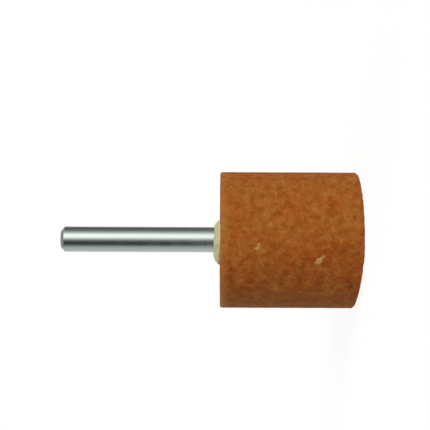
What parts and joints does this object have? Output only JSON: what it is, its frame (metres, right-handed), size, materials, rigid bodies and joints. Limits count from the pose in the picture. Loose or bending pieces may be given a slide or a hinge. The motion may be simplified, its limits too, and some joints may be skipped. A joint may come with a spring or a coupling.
{
  "type": "mounted point",
  "caption": "Mounted point: a plain cylinder of fired abrasive cemented on a straight steel shank, held in a collet to grind and deburr metal.",
  "frame": {"origin": "centre of the head's flat end face, on which the part stands", "axes": "+Z along the shank, from the end face to the shank's free end; -X is the side to which the cement bead has run"},
  "size_m": [0.032, 0.032, 0.0693],
  "materials": {
    "fired_abrasive": "open granular fired surface, matt",
    "bright_steel": "bright ground",
    "cream_cement": "cast, smooth, slightly waxy"
  },
  "bodies": {
    "root": {"abrasive_head": "fired_abrasive", "steel_shank": "bright_steel", "setting_cement": "cream_cement"}
  },
  "joints": []
}
